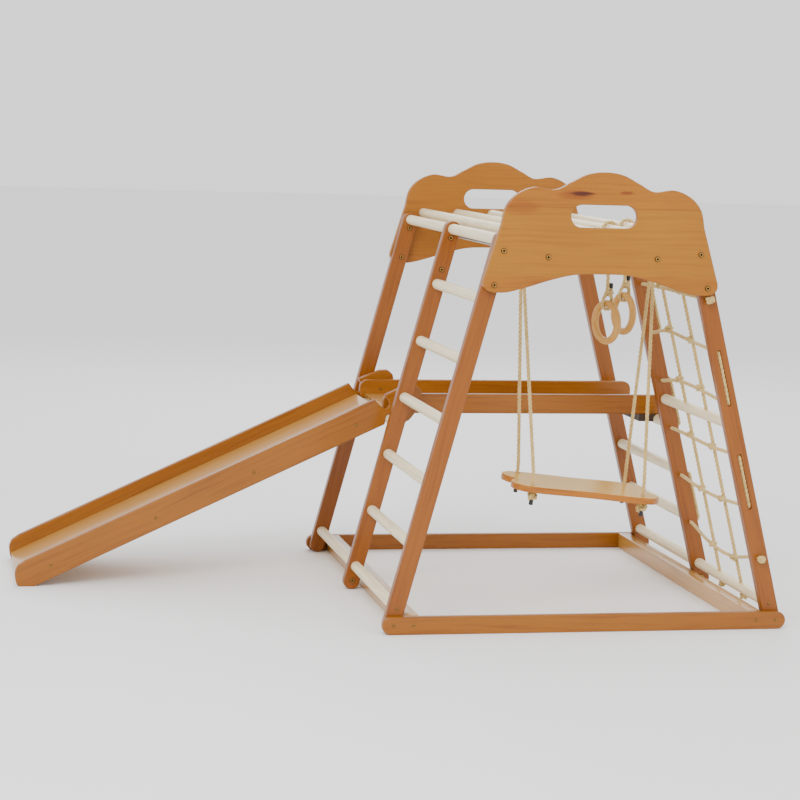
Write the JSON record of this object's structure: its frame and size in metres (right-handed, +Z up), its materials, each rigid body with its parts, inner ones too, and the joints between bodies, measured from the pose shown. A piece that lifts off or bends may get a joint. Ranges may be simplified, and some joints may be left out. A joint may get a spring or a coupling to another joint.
{
  "type": "toddler climbing frame with slide",
  "caption": "Wooden toddler climbing frame with a lift-off slide, a hanging seat, hanging grab rings, a rung ladder, a rope net and a platform.",
  "frame": {"origin": "on the floor, below the middle of the whole object's box", "axes": "+X from the slide's foot towards the frame, +Y from the swing side to the slide side, +Z up"},
  "size_m": [1.714, 1.022, 1.027],
  "materials": {
    "amber_wood": "clear satin varnish on honey-coloured board",
    "pale_wood": "pale smooth turned bar, thin satin varnish",
    "seat_wood": "pale varnished seat board with a darker edge",
    "rope": "twisted beige rope",
    "rope_tip": "black shrink sleeve on the rope end",
    "bronze_fixings": "bronzed steel screw and bolt heads",
    "steel_rod": "plain steel rod",
    "dark_batten": "dark stained batten"
  },
  "bodies": {
    "frame": {"near_left_leg": "amber_wood", "near_right_leg": "amber_wood", "mid_left_stile": "amber_wood", "mid_right_stile": "amber_wood", "far_left_leg": "amber_wood", "far_right_leg": "amber_wood", "near_panel": "amber_wood", "far_panel": "amber_wood", "near_floor_rail": "amber_wood", "far_floor_rail": "amber_wood", "left_cross_rail": "amber_wood", "right_cross_rail": "amber_wood", "platform_near_rail": "amber_wood", "platform_far_rail": "amber_wood", "platform_deck": "amber_wood", "left_top_bar": "pale_wood", "left_bottom_bar": "pale_wood", "right_top_bar": "pale_wood", "right_bottom_bar": "pale_wood", "net_middle_bar": "pale_wood", "platform_left_bar": "pale_wood", "platform_right_bar": "pale_wood", "right_far_bar_1": "pale_wood", "right_far_bar_2": "pale_wood", "ladder_rung_1": "pale_wood", "ladder_rung_2": "pale_wood", "ladder_rung_3": "pale_wood", "ladder_rung_4": "pale_wood", "ladder_rung_5": "pale_wood", "overhead_bar_1": "pale_wood", "overhead_bar_2": "pale_wood", "overhead_bar_3": "pale_wood", "overhead_bar_4": "pale_wood", "overhead_bar_5": "pale_wood", "net_rope": "rope", "net_upright_rope_front": "rope", "net_upright_rope_back": "rope", "net_knots": "rope", "frame_bolts": "bronze_fixings", "frame_screws": "bronze_fixings", "platform_screws": "bronze_fixings", "tie_rods": "steel_rod", "platform_battens": "dark_batten"},
    "slide": {"slide_near_wall": "amber_wood", "slide_far_wall": "amber_wood", "slide_floor": "amber_wood", "slide_screws": "bronze_fixings"},
    "swing": {"swing_seat": "seat_wood", "swing_left_rope": "rope", "swing_right_rope": "rope", "swing_knots": "rope", "swing_rope_tips": "rope_tip"},
    "front_ring_hanger": {"front_ring": "amber_wood", "front_ring_rope": "rope", "front_ring_knots": "rope", "front_ring_tip": "rope_tip"},
    "back_ring_hanger": {"back_ring": "amber_wood", "back_ring_rope": "rope", "back_ring_knots": "rope", "back_ring_tip": "rope_tip"}
  },
  "joints": [
    {"name": "slide_lift", "type": "slide", "parent": "frame", "child": "slide", "axis": [0, 0, 1], "range_m": [0, 0.03]},
    {"name": "swing_pivot", "type": "hinge", "parent": "frame", "child": "swing", "pos_m": [0.433, -0.24, 0.89], "axis": [1, 0, 0], "range_deg": [-25, 14]},
    {"name": "front_ring_pivot", "type": "hinge", "parent": "frame", "child": "front_ring_hanger", "pos_m": [0.479, -0.255, 0.89], "axis": [0, 1, 0], "range_deg": [-12, 12]},
    {"name": "back_ring_pivot", "type": "hinge", "parent": "frame", "child": "back_ring_hanger", "pos_m": [0.571, -0.095, 0.89], "axis": [0, 1, 0], "range_deg": [-10, 10]}
  ]
}
